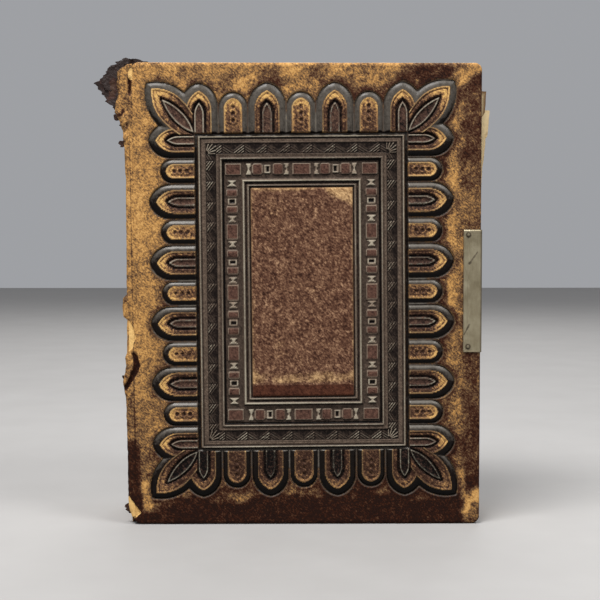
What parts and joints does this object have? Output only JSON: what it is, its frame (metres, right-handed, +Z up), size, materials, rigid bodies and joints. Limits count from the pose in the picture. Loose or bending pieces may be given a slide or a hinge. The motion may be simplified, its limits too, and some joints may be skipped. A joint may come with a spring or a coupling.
{
  "type": "bible",
  "caption": "Antique family Bible with deeply embossed leather covers that open on a rounded, banded spine, a sewn text block and a folding metal clasp.",
  "frame": {"origin": "middle of the bottom of the whole model's box, on the surface that the book stands on", "axes": "+Z up the book from tail to head, -Y out of the front cover, -X towards the spine, +X towards the fore edge"},
  "size_m": [0.2706, 0.0964, 0.318],
  "materials": {
    "embossed_leather": "dark embossed leather, glossy in the ornament, worn tan on the margins",
    "spine_leather": "dry rubbed brown leather",
    "millboard": "matte grey-tan board",
    "endpaper": "matte aged cream paper",
    "page_paper": "matte aged paper, gilt rubbed edges",
    "mull_cloth": "open weave cloth under old glue",
    "hemp_cord": "twisted hemp",
    "silk_endband": "striped silk",
    "clasp_metal": "aged nickel-plated brass, scratched satin"
  },
  "bodies": {
    "text_block": {"gathering_01": "page_paper", "gathering_02": "page_paper", "gathering_03": "page_paper", "gathering_04": "page_paper", "gathering_05": "page_paper", "gathering_06": "page_paper", "gathering_07": "page_paper", "gathering_08": "page_paper", "gathering_09": "page_paper", "gathering_10": "page_paper", "gathering_11": "page_paper", "gathering_12": "page_paper", "loose_gathering": "page_paper", "front_endpaper_fold": "endpaper", "back_endpaper_fold": "endpaper", "sewing_cord_1": "hemp_cord", "sewing_cord_2": "hemp_cord", "sewing_cord_3": "hemp_cord", "sewing_cord_4": "hemp_cord", "sewing_cord_5": "hemp_cord", "spine_mull": "mull_cloth", "spine_hollow": "millboard", "head_band": "silk_endband", "tail_band": "silk_endband", "spine_leather": "spine_leather", "raised_band_1": "millboard", "raised_band_2": "millboard", "raised_band_3": "millboard", "raised_band_4": "millboard", "raised_band_5": "millboard", "torn_head_flap": "spine_leather"},
    "front_cover": {"front_cover_leather": "embossed_leather", "front_board": "millboard", "front_pastedown": "endpaper", "front_clasp_plate": "clasp_metal", "front_clasp_nail_1": "clasp_metal", "front_clasp_nail_2": "clasp_metal"},
    "back_cover": {"back_cover_leather": "embossed_leather", "back_board": "millboard", "back_pastedown": "endpaper", "back_clasp_plate": "clasp_metal", "back_clasp_nail_1": "clasp_metal", "back_clasp_nail_2": "clasp_metal", "clasp_hinge_pin": "clasp_metal"},
    "clasp": {"clasp_strap": "clasp_metal"},
    "front_flyleaf": {"front_flyleaf": "endpaper"},
    "front_leaf_1": {"front_leaf_1": "page_paper"},
    "front_leaf_2": {"front_leaf_2": "page_paper"},
    "front_leaf_3": {"front_leaf_3": "page_paper"},
    "front_leaf_4": {"front_leaf_4": "page_paper"},
    "back_flyleaf": {"back_flyleaf": "endpaper"},
    "back_leaf_1": {"back_leaf_1": "page_paper"},
    "back_leaf_2": {"back_leaf_2": "page_paper"}
  },
  "joints": [
    {"name": "front_cover_hinge", "type": "hinge", "parent": "text_block", "child": "front_cover", "pos_m": [-0.1119, -0.04598, 0.159], "axis": [0, 0, -1], "range_deg": [0, 175]},
    {"name": "back_cover_hinge", "type": "hinge", "parent": "text_block", "child": "back_cover", "pos_m": [-0.1119, 0.04002, 0.159], "axis": [0, 0, 1], "range_deg": [0, 175]},
    {"name": "clasp_hinge", "type": "hinge", "parent": "back_cover", "child": "clasp", "pos_m": [0.13225, 0.04222, 0.1617], "axis": [0, 0, -1], "range_deg": [0, 270]},
    {"name": "front_flyleaf_turn", "type": "hinge", "parent": "text_block", "child": "front_flyleaf", "pos_m": [-0.10285, -0.03698, 0.159], "axis": [0, 0, -1], "range_deg": [0, 107.2]},
    {"name": "front_leaf_1_turn", "type": "hinge", "parent": "text_block", "child": "front_leaf_1", "pos_m": [-0.10205, -0.03617, 0.159], "axis": [0, 0, -1], "range_deg": [0, 88]},
    {"name": "front_leaf_2_turn", "type": "hinge", "parent": "text_block", "child": "front_leaf_2", "pos_m": [-0.10125, -0.03537, 0.159], "axis": [0, 0, -1], "range_deg": [0, 68.8]},
    {"name": "front_leaf_3_turn", "type": "hinge", "parent": "text_block", "child": "front_leaf_3", "pos_m": [-0.10045, -0.03458, 0.159], "axis": [0, 0, -1], "range_deg": [0, 49.5]},
    {"name": "front_leaf_4_turn", "type": "hinge", "parent": "text_block", "child": "front_leaf_4", "pos_m": [-0.09965, -0.03377, 0.159], "axis": [0, 0, -1], "range_deg": [0, 30.3]},
    {"name": "back_flyleaf_turn", "type": "hinge", "parent": "text_block", "child": "back_flyleaf", "pos_m": [-0.10285, 0.03103, 0.159], "axis": [0, 0, 1], "range_deg": [0, 107.2]},
    {"name": "back_leaf_1_turn", "type": "hinge", "parent": "text_block", "child": "back_leaf_1", "pos_m": [-0.10205, 0.03022, 0.159], "axis": [0, 0, 1], "range_deg": [0, 74]},
    {"name": "back_leaf_2_turn", "type": "hinge", "parent": "text_block", "child": "back_leaf_2", "pos_m": [-0.10125, 0.02942, 0.159], "axis": [0, 0, 1], "range_deg": [0, 39]}
  ],
  "couplings": [
    {"joint": "front_flyleaf_turn", "follows": "front_cover_hinge", "ratio": 0.61},
    {"joint": "front_leaf_1_turn", "follows": "front_cover_hinge", "ratio": 0.5},
    {"joint": "front_leaf_2_turn", "follows": "front_cover_hinge", "ratio": 0.39},
    {"joint": "front_leaf_3_turn", "follows": "front_cover_hinge", "ratio": 0.28},
    {"joint": "front_leaf_4_turn", "follows": "front_cover_hinge", "ratio": 0.17},
    {"joint": "back_flyleaf_turn", "follows": "back_cover_hinge", "ratio": 0.61},
    {"joint": "back_leaf_1_turn", "follows": "back_cover_hinge", "ratio": 0.42},
    {"joint": "back_leaf_2_turn", "follows": "back_cover_hinge", "ratio": 0.22}
  ]
}
